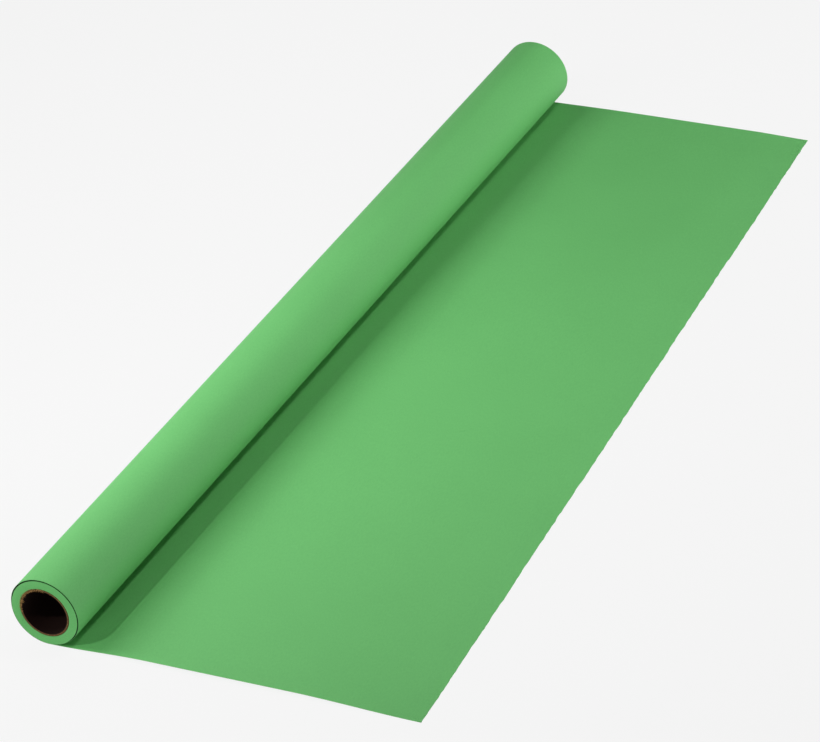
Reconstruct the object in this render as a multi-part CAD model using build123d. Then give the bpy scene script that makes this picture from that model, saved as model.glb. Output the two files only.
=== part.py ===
"""A roll of studio backdrop paper lying on a surface with a length of its web pulled out.

Millimetres. The origin is the middle of the cardboard core's bore. +Y runs along the roll, +X is the
way the web is pulled out, and +Z is up. The web leaves the bottom of the roll.
"""
from build123d import *
import math
import os

# Driving dimensions
WEB_WIDTH = 1350.0        # width of the paper, which is also the length of the roll
CORE_BORE = 60.0          # inner diameter of the core
PLY_PITCH = 0.45          # one ply and its film of glue
GLUE_FILM = 0.02
PAPER = 0.24              # thickness of the paper
TAPE = 0.1                # thickness of the tape that starts the web on the core
STACK_RADIUS = 43.8       # outside of the tight turns
LOOSE_START = 0.8         # gap inside the loose turn, where the web comes up from the surface
LOOSE_END = 0.3           # the same gap one turn later
LOOSE_BULGE = 1.0         # extra gap where the loose turn stands off the most
BULGE_ANGLE = 0.5         # that place, as a share of the turn
LIFT = 0.3                # clearance under the roll, so that it can travel over its own web
SHEET_NEAR = 488.0        # pulled-out length at the -Y edge
SHEET_FAR = 397.0         # and at the +Y edge: the free edge is cut askew
SHEET_BEHIND = 4.0        # how far the flat sheet runs back under the roll
TAPE_STATIONS = (-600.0, 0.0, 600.0)
TAPE_WIDTH = 50.0
TAPE_ARC = 70.0           # degrees of the core that one strip of tape covers
LOOSE_KNOTS = 24          # spline points in one loose turn

# The glued board plies that make the core's wall, from the bore outwards
CORE_PLIES = ("core_inner_liner", "core_ply_2", "core_ply_3", "core_ply_4", "core_ply_5",
              "core_outer_ply")

# Worked out from those
CORE_RADIUS = CORE_BORE / 2 + len(CORE_PLIES) * PLY_PITCH
STACK_BORE_RADIUS = CORE_RADIUS + TAPE
LOOSE_BOTTOM = STACK_RADIUS + LOOSE_START + PAPER
SHEET_TOP = -LOOSE_BOTTOM - LIFT
SHEET_BOTTOM = SHEET_TOP - PAPER


def along_roll(profile, width=WEB_WIDTH, middle=0.0):
    """Extrudes a profile drawn on the XZ plane along Y, with its middle at y = middle."""
    return Pos(0, middle, 0) * extrude(profile, amount=width / 2, both=True)


def ring(inner, outer):
    """A ring on the XZ plane about the roll's axis."""
    return Plane.XZ * (Circle(outer) - Circle(inner))


def core_ply(number):
    """One spiral-wound ply of the core, as the plain tube that it makes. Ply 0 is the bore's wall."""
    inner = CORE_BORE / 2 + number * PLY_PITCH
    return along_roll(ring(inner, inner + PLY_PITCH - GLUE_FILM))


def tape_strip(middle):
    """A strip of tape bent round the top of the core, under the first turn of paper."""
    half = math.radians(TAPE_ARC / 2)
    ends = []
    for radius in (CORE_RADIUS, CORE_RADIUS + TAPE):
        left = (-radius * math.sin(half), 0, radius * math.cos(half))
        right = (radius * math.sin(half), 0, radius * math.cos(half))
        ends.append((left, (0, 0, radius), right))
    inner, outer = ends
    outline = [
        ThreePointArc(*inner),
        Line(inner[2], outer[2]),
        ThreePointArc(outer[2], outer[1], outer[0]),
        Line(outer[0], inner[0]),
    ]
    return along_roll(make_face(outline), TAPE_WIDTH, middle)


def loose_gap(share):
    """Gap inside the loose turn, from the bottom of the roll (0) all the way round to it again (1)."""
    spiral = LOOSE_START + (LOOSE_END - LOOSE_START) * share
    away = (share - BULGE_ANGLE) / 0.5
    bulge = LOOSE_BULGE * math.cos(away * math.pi / 2) ** 2 if abs(away) < 1 else 0.0
    return spiral + bulge * math.sin(math.pi * share)


def loose_point(share, outward):
    """A point of the loose turn: it climbs the -X side, goes over the top and comes down the +X side."""
    angle = -math.pi / 2 - 2 * math.pi * share
    radius = STACK_RADIUS + loose_gap(share) + outward
    return (radius * math.cos(angle), 0, radius * math.sin(angle))


def outer_wrap():
    """The outermost turn, which lies loose round the roll."""
    shares = [k / LOOSE_KNOTS for k in range(LOOSE_KNOTS + 1)]
    inner = [loose_point(share, 0.0) for share in shares]
    outer = [loose_point(share, PAPER) for share in shares]
    outline = [
        Spline(*inner),
        Line(inner[-1], outer[-1]),
        Spline(*reversed(outer)),
        Line(outer[0], inner[0]),
    ]
    return along_roll(make_face(outline))


def loose_sheet():
    """The pulled-out end of the web, flat on the surface, with its free edge cut askew."""
    half = WEB_WIDTH / 2
    corners = [(-SHEET_BEHIND, -half), (SHEET_NEAR, -half), (SHEET_FAR, half), (-SHEET_BEHIND, half)]
    outline = make_face(Polyline(*corners, close=True))
    return extrude(Pos(0, 0, SHEET_BOTTOM) * outline, amount=PAPER)


def build():
    """Every node of the roll, by name."""
    nodes = {name: core_ply(number) for number, name in enumerate(CORE_PLIES)}
    nodes["starting_tape"] = Compound([tape_strip(middle) for middle in TAPE_STATIONS])
    nodes["wound_paper"] = along_roll(ring(STACK_BORE_RADIUS, STACK_RADIUS))
    nodes["outer_wrap"] = outer_wrap()
    nodes["loose_sheet"] = loose_sheet()
    return nodes


os.makedirs("parts", exist_ok=True)
for node_name, shape in build().items():
    export_step(shape, f"parts/{node_name}.step")
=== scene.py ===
"""The looks of a roll of studio backdrop paper: the wound turns, the loose web, the core, light and camera.

Metres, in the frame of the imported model. The roll's axis is +Y through the origin, the web is pulled
out towards +X from the bottom of the roll, and +Z is up.
"""

import math
import random

import bpy
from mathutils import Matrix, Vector, noise


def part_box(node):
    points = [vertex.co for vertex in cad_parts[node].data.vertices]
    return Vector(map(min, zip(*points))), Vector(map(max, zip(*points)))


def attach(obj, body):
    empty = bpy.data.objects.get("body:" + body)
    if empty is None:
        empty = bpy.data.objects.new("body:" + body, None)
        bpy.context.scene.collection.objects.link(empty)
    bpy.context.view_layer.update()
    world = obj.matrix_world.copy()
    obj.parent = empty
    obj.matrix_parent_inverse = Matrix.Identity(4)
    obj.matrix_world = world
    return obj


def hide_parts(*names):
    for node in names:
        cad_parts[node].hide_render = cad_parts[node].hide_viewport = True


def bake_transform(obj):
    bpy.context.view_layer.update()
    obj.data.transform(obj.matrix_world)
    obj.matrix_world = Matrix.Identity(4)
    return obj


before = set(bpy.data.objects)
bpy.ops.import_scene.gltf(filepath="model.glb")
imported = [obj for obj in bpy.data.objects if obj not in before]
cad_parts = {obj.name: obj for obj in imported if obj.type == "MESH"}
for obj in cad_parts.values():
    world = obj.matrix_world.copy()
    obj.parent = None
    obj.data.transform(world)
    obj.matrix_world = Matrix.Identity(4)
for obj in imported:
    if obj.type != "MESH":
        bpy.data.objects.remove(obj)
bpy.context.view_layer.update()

# Sizes, from the frame where it has them
STACK_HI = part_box("wound_paper")[1]
SHEET_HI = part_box("loose_sheet")[1]
CORE_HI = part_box("core_outer_ply")[1]
STACK_RADIUS = STACK_HI.x + 0.0001   # the moving bodies' clearance is partly taken up
CORE_RADIUS = CORE_HI.x
HALF_WIDTH = STACK_HI.y
SHEET_NEAR = SHEET_HI.x       # pulled-out length at the -Y edge
SHEET_FAR = 0.397             # and at the +Y edge
PAPER = 0.00024               # thickness of the web
WIND_PITCH = 0.000257         # one turn of paper and the air on it
PLY_PITCH = 0.00045           # one ply of the core and its glue
GLUE_FILM = 0.00002
TURN_AIR = 0.00003            # least air beside the loose turn
FLOOR = -(STACK_RADIUS + 3 * TURN_AIR + 2 * PAPER)


# ---------------------------------------------------------------- mesh helpers

SHARP_ANGLE = math.radians(40)


def new_piece(name, vertices, faces, material):
    """A smooth-shaded mesh object in the scene, with one material."""
    mesh = bpy.data.meshes.new(name)
    mesh.from_pydata(vertices, [], faces)
    mesh.validate()
    mesh.materials.append(material)
    for face in mesh.polygons:
        face.use_smooth = True
    piece = bpy.data.objects.new(name, mesh)
    bpy.context.scene.collection.objects.link(piece)
    return piece


def paint_gap_shade(piece, vertices):
    """Paints shade on the faces whose corners are all among these vertices: they take the darkened paper
    that stands for the unlit gap under the loose turn.
    """
    piece.data.materials.append(PAINTED_GAP_SHADE_PAPER)
    for face in piece.data.polygons:
        if all(corner in vertices for corner in face.vertices):
            face.material_index = 1


def sharpen(piece):
    """Keeps the edges that turn sharply crisp."""
    piece.data.set_sharp_from_angle(angle=SHARP_ANGLE)


def grid_faces(rows, columns, first=0, loop=False, flip=False):
    """Quads between rows of points; loop joins the last column to the first."""
    faces = []
    for row in range(rows - 1):
        for column in range(columns if loop else columns - 1):
            after = (column + 1) % columns
            a = first + row * columns + column
            b = first + row * columns + after
            c = first + (row + 1) * columns + after
            d = first + (row + 1) * columns + column
            faces.append((a, d, c, b) if flip else (a, b, c, d))
    return faces


def skin_faces(rows, count):
    """Faces of a thin sheet: a grid of points for its first side, the same for its second, and its rim."""
    second = rows * count
    faces = grid_faces(rows, count) + grid_faces(rows, count, first=second, flip=True)
    last = (rows - 1) * count
    for k in range(count - 1):
        faces.append((k + 1, k, second + k, second + k + 1))
        faces.append((last + k, last + k + 1, second + last + k + 1, second + last + k))
    for row in range(rows - 1):
        a = row * count
        b = a + count
        faces.append((a, b, second + b, second + a))
        faces.append((b + count - 1, a + count - 1, second + a + count - 1, second + b + count - 1))
    return faces


# ---------------------------------------------------------------- materials

class Nodes:
    """A new node material and short calls to add nodes to it."""

    def __init__(self, name):
        self.material = bpy.data.materials.new(name)
        self.material.use_nodes = True
        self.tree = self.material.node_tree
        self.shader = self.tree.nodes["Principled BSDF"]
        self.place = self.add("ShaderNodeTexCoord").outputs["Object"]

    def add(self, kind, **settings):
        node = self.tree.nodes.new(kind)
        for key, value in settings.items():
            setattr(node, key, value)
        return node

    def link(self, source, target):
        self.tree.links.new(source, target)

    def stretched(self, scale):
        """The place, scaled by axis."""
        mapping = self.add("ShaderNodeMapping")
        mapping.inputs["Scale"].default_value = scale
        self.link(self.place, mapping.inputs["Vector"])
        return mapping.outputs["Vector"]

    def noise(self, scale, detail=4.0, roughness=0.55, vector=None):
        node = self.add("ShaderNodeTexNoise")
        node.inputs["Scale"].default_value = scale
        node.inputs["Detail"].default_value = detail
        node.inputs["Roughness"].default_value = roughness
        self.link(vector or self.place, node.inputs["Vector"])
        return node.outputs["Fac"]

    def ramp(self, source, stops):
        node = self.add("ShaderNodeValToRGB")
        ramp = node.color_ramp
        while len(ramp.elements) < len(stops):
            ramp.elements.new(0.5)
        for element, (position, colour) in zip(ramp.elements, stops):
            element.position = position
            element.color = (*colour, 1.0)
        self.link(source, node.inputs["Fac"])
        return node.outputs["Color"]

    def mix(self, a, b, factor, mode="MIX"):
        node = self.add("ShaderNodeMix", data_type="RGBA", blend_type=mode)
        for value, name in ((a, "A"), (b, "B"), (factor, "Factor")):
            socket = node.inputs[name]
            if isinstance(value, (tuple, float)):
                socket.default_value = (*value, 1.0) if isinstance(value, tuple) else value
            else:
                self.link(value, socket)
        return node.outputs["Result"]

    def maths(self, operation, a, b=0.0):
        node = self.add("ShaderNodeMath", operation=operation)
        for value, socket in ((a, node.inputs[0]), (b, node.inputs[1])):
            if isinstance(value, float):
                socket.default_value = value
            else:
                self.link(value, socket)
        return node.outputs["Value"]

    def bump(self, height, strength, distance):
        node = self.add("ShaderNodeBump")
        node.inputs["Strength"].default_value = strength
        node.inputs["Distance"].default_value = distance
        self.link(height, node.inputs["Height"])
        return node.outputs["Normal"]

    def finish(self, colour, roughness, normal, specular):
        self.link(colour, self.shader.inputs["Base Color"])
        self.link(roughness, self.shader.inputs["Roughness"])
        self.link(normal, self.shader.inputs["Normal"])
        self.shader.inputs["Specular IOR Level"].default_value = specular
        return self.material


PAPER_GRAIN = (900.0, 260.0, 900.0)   # fibres to the metre; they lie along the roll
BOARD_GRAIN = (1500.0, 380.0, 1500.0)
TAPE_GRAIN = (2500.0, 300.0, 2500.0)
PAPER_GREENS = ((0.118, 0.425, 0.122), (0.124, 0.440, 0.128))
PAINTED_GAP_SHADE = 0.12          # painted shade: how far the paper is darkened inside the gap of the loose turn, where it is never lit
SEAM_LEAD = 0.16              # how far along the core one turn of its spiral seam goes
SEAM_WIDTH = 0.0006


def paper_material(name, painted_shade_scale=1.0):
    """Dyed-through uncoated paper: cloudy pulp, fine fibres and a faint tooth. The second argument paints
    shade: below 1 it darkens the colour and dims the sheen.
    """
    n = Nodes(name)
    clouds = n.noise(9.0, 3.0)
    fibres = n.noise(1.0, 5.0, 0.6, n.stretched(PAPER_GRAIN))
    darker, lighter = (tuple(painted_shade_scale * part for part in green) for green in PAPER_GREENS)
    base = n.ramp(clouds, [(0.3, darker), (0.7, lighter)])
    flecks = n.ramp(fibres, [(0.30, (0.92, 0.94, 0.92)), (0.62, (1.04, 1.03, 1.04))])
    colour = n.mix(base, flecks, 1.0, "MULTIPLY")
    tooth = n.bump(fibres, 0.10, 0.0003)
    rough = n.ramp(clouds, [(0.2, (0.66,) * 3), (0.8, (0.72,) * 3)])
    return n.finish(colour, rough, tooth, 0.36 * painted_shade_scale)


def board_material(name, dark, middle, light):
    """Spiral-wound board: long fibres and cloudy pulp."""
    n = Nodes(name)
    fibres = n.noise(1.0, 6.0, 0.65, n.stretched(BOARD_GRAIN))
    clouds = n.noise(60.0, 3.0)
    base = n.ramp(fibres, [(0.25, dark), (0.5, middle), (0.8, light)])
    tint = n.ramp(clouds, [(0.3, (0.85, 0.83, 0.80)), (0.7, (1.08, 1.05, 1.0))])
    colour = n.mix(base, tint, 1.0, "MULTIPLY")
    rough = n.ramp(fibres, [(0.2, (0.86,) * 3), (0.8, (0.97,) * 3)])
    return n.finish(colour, rough, n.bump(fibres, 0.5, 0.0004), 0.2)


def liner_material():
    """The dark inner liner of the core, with the spiral seam between its turns."""
    n = Nodes("core_liner")
    fibres = n.noise(1.0, 6.0, 0.65, n.stretched(BOARD_GRAIN))
    base = n.ramp(fibres, [(0.25, (0.006, 0.002, 0.001)), (0.8, (0.024, 0.008, 0.005))])
    axes = n.add("ShaderNodeSeparateXYZ")
    n.link(n.place, axes.inputs["Vector"])
    angle = n.maths("ARCTAN2", axes.outputs["X"], axes.outputs["Z"])
    along = n.maths("ADD", axes.outputs["Y"], n.maths("MULTIPLY", angle, SEAM_LEAD / (2 * math.pi)))
    phase = n.maths("PINGPONG", along, SEAM_LEAD / 2)
    seam = n.maths("LESS_THAN", phase, SEAM_WIDTH)
    colour = n.mix(base, (0.002, 0.001, 0.001), seam)
    rough = n.ramp(fibres, [(0.2, (0.70,) * 3), (0.8, (0.85,) * 3)])
    height = n.maths("SUBTRACT", fibres, seam)
    return n.finish(colour, rough, n.bump(height, 0.5, 0.0003), 0.2)


def tape_material():
    """Crepe masking tape: fine ridges across its length."""
    n = Nodes("crepe_tape")
    crepe = n.noise(1.0, 3.0, 0.6, n.stretched(TAPE_GRAIN))
    colour = n.ramp(crepe, [(0.3, (0.52, 0.42, 0.24)), (0.7, (0.66, 0.56, 0.36))])
    rough = n.ramp(crepe, [(0.3, (0.55,) * 3), (0.7, (0.68,) * 3)])
    return n.finish(colour, rough, n.bump(crepe, 0.4, 0.0002), 0.4)


GREEN_PAPER = paper_material("green_paper")
# paper darkened as painted shade, for the faces inside the gap of the loose turn
PAINTED_GAP_SHADE_PAPER = paper_material("painted_gap_shade_paper", PAINTED_GAP_SHADE)
CORE_BOARD = board_material(
    "core_board", dark=(0.05, 0.027, 0.010), middle=(0.12, 0.066, 0.025), light=(0.27, 0.15, 0.058)
)
# The outermost ply of the core is painted near black: painted shade for the dark crevice between the core
# and the first turn of paper.
OUTER_PLY_PAINTED_SHADE = board_material(
    "outer_ply_painted_shade", dark=(0.012, 0.007, 0.004), middle=(0.030, 0.018, 0.009), light=(0.07, 0.042, 0.020)
)
TORN_BOARD = board_material(
    "torn_board", dark=(0.30, 0.17, 0.06), middle=(0.50, 0.30, 0.11), light=(0.68, 0.44, 0.19)
)
CORE_LINER = liner_material()
CREPE_TAPE = tape_material()


# ---------------------------------------------------------------- camera

CAMERA_PLACE = (2.8091, -4.6095, 3.2436)
CAMERA_TURN = (58.1005, 5.8111, 26.5022)   # degrees about X, Y and Z: tilt, roll and heading
CAMERA_LENS = 218.56          # mm, on the default 36 mm sensor
CAMERA_SIGHT = 200.0          # far enough to see the floor to its horizon


def make_camera():
    data = bpy.data.cameras.new("camera")
    data.lens = CAMERA_LENS
    data.clip_end = CAMERA_SIGHT
    camera = bpy.data.objects.new("camera", data)
    bpy.context.scene.collection.objects.link(camera)
    camera.location = CAMERA_PLACE
    camera.rotation_euler = [math.radians(degrees) for degrees in CAMERA_TURN]
    bpy.context.scene.camera = camera


make_camera()


# ---------------------------------------------------------------- the web

TURN_STEPS = 96               # points round each tight turn
LOOSE_STEPS = 96              # and round the loose one
CORE_AIR = 0.0003             # between the core and the first turn, where the tape is
TURN_ROWS = (-1.0, -0.985, 0.985, 1.0)   # along the tight turns; only the ends are uneven
BOTTOM = -math.pi / 2         # the angle at which the web leaves the roll


def wobble(seed, place, size):
    """Smooth seeded noise along one line, from -size to size."""
    return size * noise.noise(Vector((seed * 7.31, place, 0.37)))


def spiral_turns():
    """The tight turns: one spiral of paper from the core to the outside of the stack."""
    inner_radius = CORE_RADIUS + CORE_AIR
    turns = (STACK_RADIUS - PAPER - inner_radius) / WIND_PITCH
    steps = round(turns * TURN_STEPS)
    vertices = []
    for side in (0, 1):
        for row in TURN_ROWS:
            for k in range(steps + 1):
                turn = turns * k / steps
                # the last turn ends at the bottom of the roll, where the loose turn takes over
                angle = BOTTOM + 2 * math.pi * (turns - turn)
                radius = inner_radius + turn * WIND_PITCH + (PAPER if side == 0 else 0.0)
                y = HALF_WIDTH * row + (edge_shift(turn, row) if abs(row) == 1 else 0.0)
                vertices.append((radius * math.cos(angle), y, radius * math.sin(angle)))
    faces = skin_faces(len(TURN_ROWS), steps + 1)
    piece = new_piece("wound_paper_turns", vertices, faces, GREEN_PAPER)
    # painted shade on the outer face of the last tight turn, which lies in the gap under the loose turn
    outermost = range(steps - TURN_STEPS, steps + 1)
    paint_gap_shade(piece, {row * (steps + 1) + k for row in range(len(TURN_ROWS)) for k in outermost})
    sharpen(piece)
    return piece


def edge_shift(turn, end):
    """How far a turn's edge stands out of the face or back into it."""
    return wobble(3 + end, turn * 0.35, 0.0003) + wobble(9 + end, turn * 1.9, 0.00022)


LOOSE_SWELL = 0.0014          # how far the loose turn stands off over the top of the roll
SWELL_START = 0.30            # where it lifts off and comes back, as shares of the turn
SWELL_END = 0.875
SWELL_SOFT = 0.018
DENT = (0.268, -0.118)        # a small knock in the pulled-out web
DENT_LENGTH = 0.006
DENT_DEPTH = 0.0007


def swell(share):
    """From 0 to 1 past the start of the swell, and back to 0 past its end."""
    lifts = 1 / (1 + math.exp((SWELL_START - share) / SWELL_SOFT))
    return lifts / (1 + math.exp((share - SWELL_END) / SWELL_SOFT))


def loose_gap(share):
    """Gap between the stack and the loose turn, from the bottom of the roll (0) round to it again (1)."""
    spiral = TURN_AIR + (PAPER + TURN_AIR) * (1 - share)
    return spiral + LOOSE_SWELL * swell(share)


def sheet_edge(y):
    """Pulled-out length at a place along the roll: a straight cut askew, by hand."""
    askew = SHEET_NEAR + (SHEET_FAR - SHEET_NEAR) * (y / HALF_WIDTH + 1) / 2
    return askew + wobble(21, y * 9.0, 0.0008) + wobble(22, y * 110.0, 0.0009)


def dent_depth(x, y):
    """A knock of a few millimetres with a crease across it."""
    along = ((x - DENT[0]) * 0.8 + (y - DENT[1]) * 0.6) / DENT_LENGTH
    across = ((y - DENT[1]) * 0.8 - (x - DENT[0]) * 0.6) / (0.4 * DENT_LENGTH)
    return DENT_DEPTH * across * math.exp(-along ** 2 - across ** 2)


RISE_NEAR = 0.0045            # how high the web stands over the floor at the -Y edge
RISE_FAR = 0.0015             # and at the +Y edge
RISE_LENGTH = 0.13            # how far from the roll it is up
FALL_START = 0.32             # where it starts to come down to the free edge
RIPPLE = 0.0004


def ease(share):
    """From 0 to 1 with a level start and end."""
    share = min(1.0, max(0.0, share))
    return share * share * (3 - 2 * share)


def sheet_rise(x, y):
    """Height of the pulled-out web over the floor: up from the roll, level, and down to the free edge."""
    fall = ease((x - FALL_START) / (sheet_edge(y) - FALL_START))
    height = RISE_NEAR + (RISE_FAR - RISE_NEAR) * (y / HALF_WIDTH + 1) / 2
    height += RIPPLE * noise.noise(Vector((0.3, y * 3.0, 1.7)))
    return height * ease(x / RISE_LENGTH) * (1 - fall) + dent_depth(x, y)


def shares(steps, fine_at, fine_by, fine_steps, lowest=0.0):
    """Even shares from lowest to 1, with finer ones about one place."""
    even = [lowest + (1 - lowest) * k / steps for k in range(steps + 1)]
    fine = [fine_at + fine_by * (2 * k / fine_steps - 1) for k in range(1, fine_steps)]
    return sorted([e for e in even if abs(e - fine_at) >= fine_by] + fine)


def loose_web():
    """The loose outer turn and the pulled-out web, which are one sheet of paper without a seam."""
    turn = []
    for k in range(LOOSE_STEPS + 1):
        share = 1 - k / LOOSE_STEPS
        angle = BOTTOM - 2 * math.pi * share
        turn.append((STACK_RADIUS + loose_gap(share), math.cos(angle), math.sin(angle)))
    bottom = -turn[-1][0] - PAPER
    flat_columns = shares(60, DENT[0] / sheet_edge(DENT[1]), 0.03, 20)[1:]
    stations = shares(250, DENT[1] / HALF_WIDTH, 0.014, 12, lowest=-1.0)
    count = len(turn) + len(flat_columns)
    vertices = []
    for side in (0, 1):
        for station in stations:
            y = HALF_WIDTH * station
            edge = sheet_edge(y)
            for radius, cosine, sine in turn:
                reach = radius + (0.0 if side == 0 else PAPER)
                vertices.append((reach * cosine, y, reach * sine))
            for share in flat_columns:
                x = edge * share
                vertices.append((x, y, bottom + sheet_rise(x, y) + (PAPER if side == 0 else 0.0)))
    faces = skin_faces(len(stations), count)
    piece = new_piece("loose_web", vertices, faces, GREEN_PAPER)
    # painted shade on the inner face of the loose turn, which faces the gap, short of its end at the bottom
    inside = range(len(turn) - LOOSE_STEPS // 20)
    paint_gap_shade(piece, {row * count + k for row in range(len(stations)) for k in inside})
    sharpen(piece)
    return piece


turns_piece = spiral_turns()
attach(turns_piece, "roll")
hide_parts("wound_paper")

web_piece = loose_web()
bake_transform(web_piece)
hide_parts("loose_sheet", "outer_wrap")


# ---------------------------------------------------------------- the core

CORE_STEPS = 240              # points round each ply
CORE_NODES = ("core_inner_liner", "core_ply_2", "core_ply_3", "core_ply_4", "core_ply_5", "core_outer_ply")
BORE_RADIUS = CORE_RADIUS - (len(CORE_NODES) - 1) * PLY_PITCH - (PLY_PITCH - GLUE_FILM)
TORN_FROM = math.radians(80)  # the part of the -Y rim that the saw tore, by angle from +X towards +Z
TORN_TO = math.radians(190)
FIBRE_COUNT = 760             # strands of torn board
FIBRE_STEPS = 5               # lengths of each
FIBRES_TORN = 0.8             # share of them that stand where the rim is torn
FIBRE_LENGTHS = (0.0006, 0.0024)
FIBRE_WIDTHS = (0.00006, 0.00024)
FIBRE_ROOT = 0.0003           # how deep in the cut face they start
SPUR_ANGLES = (157, 160, 163)   # strands of a spur of board that leans into the bore, in degrees
SPUR_LENGTH = 0.0034
SPUR_WIDTH = 0.0004


def torn(angle):
    """How torn the -Y rim is at this angle, from 0 to 1."""
    share = (angle % (2 * math.pi) - TORN_FROM) / (TORN_TO - TORN_FROM)
    return math.sin(math.pi * share) ** 0.5 if 0 < share < 1 else 0.0


def ply_tube(number):
    """One ply of the core with saw-cut ends: fuzzy all round, and ragged where the saw tore it."""
    inner = BORE_RADIUS + number * PLY_PITCH
    outer = inner + PLY_PITCH - GLUE_FILM
    # rings of points along the tube: which end they belong to, and how far in from it they are
    rings = [(-1, 0.0), (-1, 0.0012), (-1, 0.02), (1, 0.02), (1, 0.0012), (1, 0.0)]
    vertices = []
    for wall in (outer, inner):
        for end, inset in rings:
            for k in range(CORE_STEPS):
                angle = 2 * math.pi * k / CORE_STEPS
                rough = torn(angle) if end < 0 else 0.0
                reach = wobble(40 + number, 30 * angle + end, 0.00012 + 0.0005 * rough)
                reach += wobble(60 + number, 90 * angle + end, 0.00012 + 0.0004 * rough)
                fuzz = wobble(80 + number, 70 * angle + wall * 900, 0.00005) if inset == 0 else 0.0
                y = end * (HALF_WIDTH - inset + (reach if inset == 0 else 0.0))
                vertices.append(((wall + fuzz) * math.cos(angle), y, (wall + fuzz) * math.sin(angle)))
    count = len(rings) * CORE_STEPS
    faces = grid_faces(len(rings), CORE_STEPS, loop=True, flip=True)
    faces += grid_faces(len(rings), CORE_STEPS, first=count, loop=True)
    last = count - CORE_STEPS
    for k in range(CORE_STEPS):
        after = (k + 1) % CORE_STEPS
        faces.append((k, after, count + after, count + k))
        faces.append((last + after, last + k, count + last + k, count + last + after))
    name = CORE_NODES[number]
    # the outermost ply takes the near-black board, painted shade for the crevice between the core and the
    # paper
    boards = {0: CORE_LINER, len(CORE_NODES) - 1: OUTER_PLY_PAINTED_SHADE}
    piece = new_piece(name + "_board", vertices, faces, boards.get(number, CORE_BOARD))
    sharpen(piece)
    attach(piece, "roll")
    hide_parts(name)


def fibre(place, heading, length, width, curl, vertices, faces):
    """Adds one tapering, curling strand of board, three-sided and closed."""
    side = heading.cross(Vector((0.3, 0.5, 0.8))).normalized()
    other = heading.cross(side).normalized()
    first = len(vertices)
    for k in range(FIBRE_STEPS):
        share = k / FIBRE_STEPS
        middle = place + heading * length * share + curl * (share ** 2 * length)
        for corner in range(3):
            turn = 2 * math.pi * corner / 3
            spread = width * (1 - share) * (side * math.cos(turn) + other * math.sin(turn))
            vertices.append(tuple(middle + spread))
    vertices.append(tuple(place + heading * length + curl * length))
    tip = len(vertices) - 1
    for k in range(FIBRE_STEPS - 1):
        for corner in range(3):
            after = (corner + 1) % 3
            a = first + 3 * k
            faces.append((a + corner, a + after, a + 3 + after, a + 3 + corner))
    top = first + 3 * (FIBRE_STEPS - 1)
    for corner in range(3):
        faces.append((top + corner, top + (corner + 1) % 3, tip))
    faces.append((first + 2, first + 1, first))


def torn_fibres():
    """Strands that the saw pulled out of the board, most of them where the -Y rim is torn."""
    random.seed(5)
    vertices = []
    faces = []
    for _ in range(FIBRE_COUNT):
        if random.random() < FIBRES_TORN:
            angle = TORN_FROM + (TORN_TO - TORN_FROM) * random.random()
            scale = 0.5 + torn(angle)
        else:
            angle = random.uniform(0, 2 * math.pi)
            scale = 0.45
        out = Vector((math.cos(angle), 0, math.sin(angle)))
        round_it = Vector((-math.sin(angle), 0, math.cos(angle)))
        radius = random.uniform(BORE_RADIUS, CORE_RADIUS)
        place = out * radius + Vector((0, -HALF_WIDTH + FIBRE_ROOT, 0))
        lean = random.uniform(-0.7, 1.2)
        heading = out * lean + round_it * random.uniform(-1, 1) + Vector((0, -random.uniform(0.15, 0.9), 0))
        curl = Vector([random.uniform(-0.5, 0.5) for _ in range(3)])
        length = scale * random.uniform(*FIBRE_LENGTHS)
        width = random.uniform(*FIBRE_WIDTHS)
        fibre(place, heading.normalized(), length, width, curl, vertices, faces)
    for angle in (math.radians(degrees) for degrees in SPUR_ANGLES):
        out = Vector((math.cos(angle), 0, math.sin(angle)))
        place = out * (BORE_RADIUS + 0.0003) + Vector((0, -HALF_WIDTH + 0.0002, 0))
        curl = Vector((0.1, -0.2, 0.3 * math.sin(9 * angle)))
        inwards = (Vector((0, -0.15, 0.1)) - out).normalized()
        fibre(place, inwards, SPUR_LENGTH, SPUR_WIDTH, curl, vertices, faces)
    piece = new_piece("core_torn_fibres", vertices, faces, TORN_BOARD)
    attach(piece, "roll")


for ply_number in range(len(CORE_NODES)):
    ply_tube(ply_number)
torn_fibres()
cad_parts["starting_tape"].data.materials.clear()
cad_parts["starting_tape"].data.materials.append(CREPE_TAPE)


# ---------------------------------------------------------------- floor and light

FLOOR_REACH = 40.0            # to the horizon of a low view
FLOOR_GLOW = 0.88
WORLD_GLOW = 0.04


def make_floor():
    """A plain pale floor with a soft glow, so that the roll's shadows on it stay faint."""
    corners = [
        (x * FLOOR_REACH, y * FLOOR_REACH, FLOOR) for x, y in ((-1, -1), (1, -1), (1, 1), (-1, 1))
    ]
    n = Nodes("pale_floor")
    colour = n.ramp(n.noise(3.0), [(0.0, (0.038, 0.038, 0.038)), (1.0, (0.042, 0.042, 0.042))])
    n.link(colour, n.shader.inputs["Base Color"])
    n.shader.inputs["Roughness"].default_value = 1.0
    n.shader.inputs["Specular IOR Level"].default_value = 0.0
    n.shader.inputs["Emission Color"].default_value = (1.0, 1.0, 1.0, 1.0)
    n.shader.inputs["Emission Strength"].default_value = FLOOR_GLOW
    floor = new_piece("pale_floor", corners, [(0, 1, 2, 3)], n.material)
    return floor


LAMPS_AIM = (0.1, 0.0, 0.0)   # on the web, beside the roll


def add_lamp(data, place, target, power):
    """A lamp at this place, turned to the target. Power is in watts."""
    data.energy = power
    lamp = bpy.data.objects.new(data.name, data)
    lamp.location = place
    lamp.rotation_mode = "QUATERNION"
    lamp.rotation_quaternion = (Vector(target) - Vector(place)).to_track_quat("-Z", "Y")
    bpy.context.scene.collection.objects.link(lamp)
    return lamp


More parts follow.
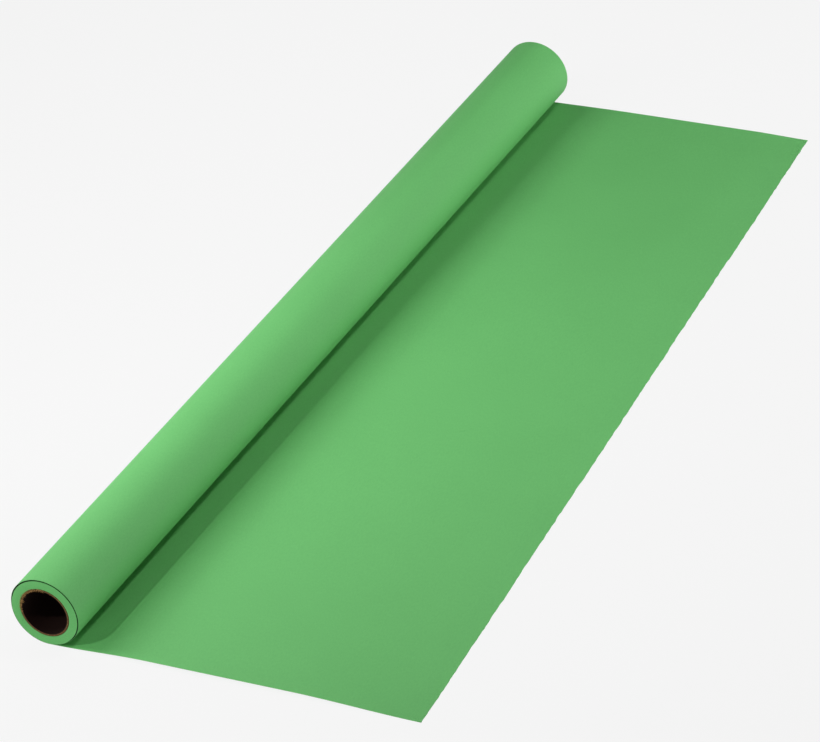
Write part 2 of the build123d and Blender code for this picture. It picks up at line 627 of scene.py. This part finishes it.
def keep_off(lamp, piece):
    """Leaves this piece out of what the lamp lights."""
    group = bpy.data.collections.new(lamp.name + "_leaves_out")
    group.objects.link(piece)
    group.collection_objects[0].light_linking.link_state = "EXCLUDE"
    lamp.light_linking.receiver_collection = group


def round_lamp(name, place, size, power):
    """A round soft lamp aimed beside the roll."""
    data = bpy.data.lights.new(name, "AREA")
    data.shape = "DISK"
    data.size = size
    return add_lamp(data, place, LAMPS_AIM, power)


def strip_lamp(name, place, length, width, power):
    """A long soft box beside the roll, its long side along it."""
    data = bpy.data.lights.new(name, "AREA")
    data.shape = "RECTANGLE"
    data.size = length
    data.size_y = width
    add_lamp(data, place, (0.05, place[1], 0.0), power)


def make_light(floor):
    """A key, two soft boxes over the roll's left side, and round fills from the front and both sides."""
    world = bpy.data.worlds.new("studio")
    world.use_nodes = True
    background = world.node_tree.nodes["Background"]
    background.inputs["Color"].default_value = (1.0, 1.0, 1.0, 1.0)
    background.inputs["Strength"].default_value = WORLD_GLOW
    bpy.context.scene.world = world
    key = bpy.data.lights.new("key", "SPOT")
    key.spot_size = math.radians(28)
    key.spot_blend = 0.8
    key.shadow_soft_size = 0.02
    add_lamp(key, (-0.67, -2.06, 2.0), (0.1, -0.5, 0.0), 72.0)
    strip_lamp("softbox_near", (-0.50, -0.25, 0.71), 0.7, 0.46, 4.4)
    strip_lamp("softbox_far", (-0.50, 0.6, 0.71), 0.5, 0.46, 2.1)
    round_lamp("top_right", (0.70, 0.0, 1.46), 0.25, 8.6)
    # the two lamps close to the floor would leave a bright patch on it
    keep_off(round_lamp("low_right", (2.2, 0.9, 0.17), 0.2, 23.0), floor)
    round_lamp("right_far", (0.9, 1.0, 0.7), 0.4, 1.9)
    round_lamp("right_far_low", (0.5, 1.0, 0.4), 0.25, 0.7)
    keep_off(round_lamp("front", (0.0, -2.2, 0.3), 0.4, 8.0), floor)
    round_lamp("left", (-1.0, -0.8, 0.8), 0.5, 6.6)
    round_lamp("left_front", (-0.8, -1.5, 1.0), 0.3, 1.7)
    bpy.context.scene.view_settings.view_transform = "Standard"


make_light(make_floor())
